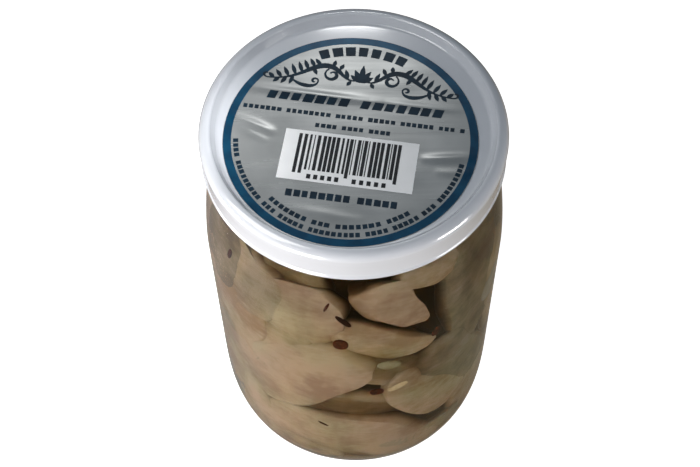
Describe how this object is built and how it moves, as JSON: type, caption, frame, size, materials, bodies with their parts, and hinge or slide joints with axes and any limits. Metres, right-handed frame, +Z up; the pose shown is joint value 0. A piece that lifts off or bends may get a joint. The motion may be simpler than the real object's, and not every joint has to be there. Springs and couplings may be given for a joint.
{
  "type": "jar of pickled herring",
  "caption": "Shut wide-mouth glass jar of pickled herring pieces in brine, with a smooth white screw lid that has a raised rim and a round foil label in its recess.",
  "frame": {"origin": "centre of the bearing ring under the jar, on the surface it stands on", "axes": "+Z up along the jar's axis, -Y towards the viewer that the label's print reads upright to"},
  "size_m": [0.0954, 0.0954, 0.148],
  "materials": {
    "glass": "clear, smooth",
    "lid_white": "glossy white",
    "label_foil": "satin foil with blue print",
    "herring": "moist"
  },
  "bodies": {
    "root": {"jar_glass": "glass", "lid": "lid_white", "lid_label": "label_foil", "herring_heap": "herring"}
  },
  "joints": []
}
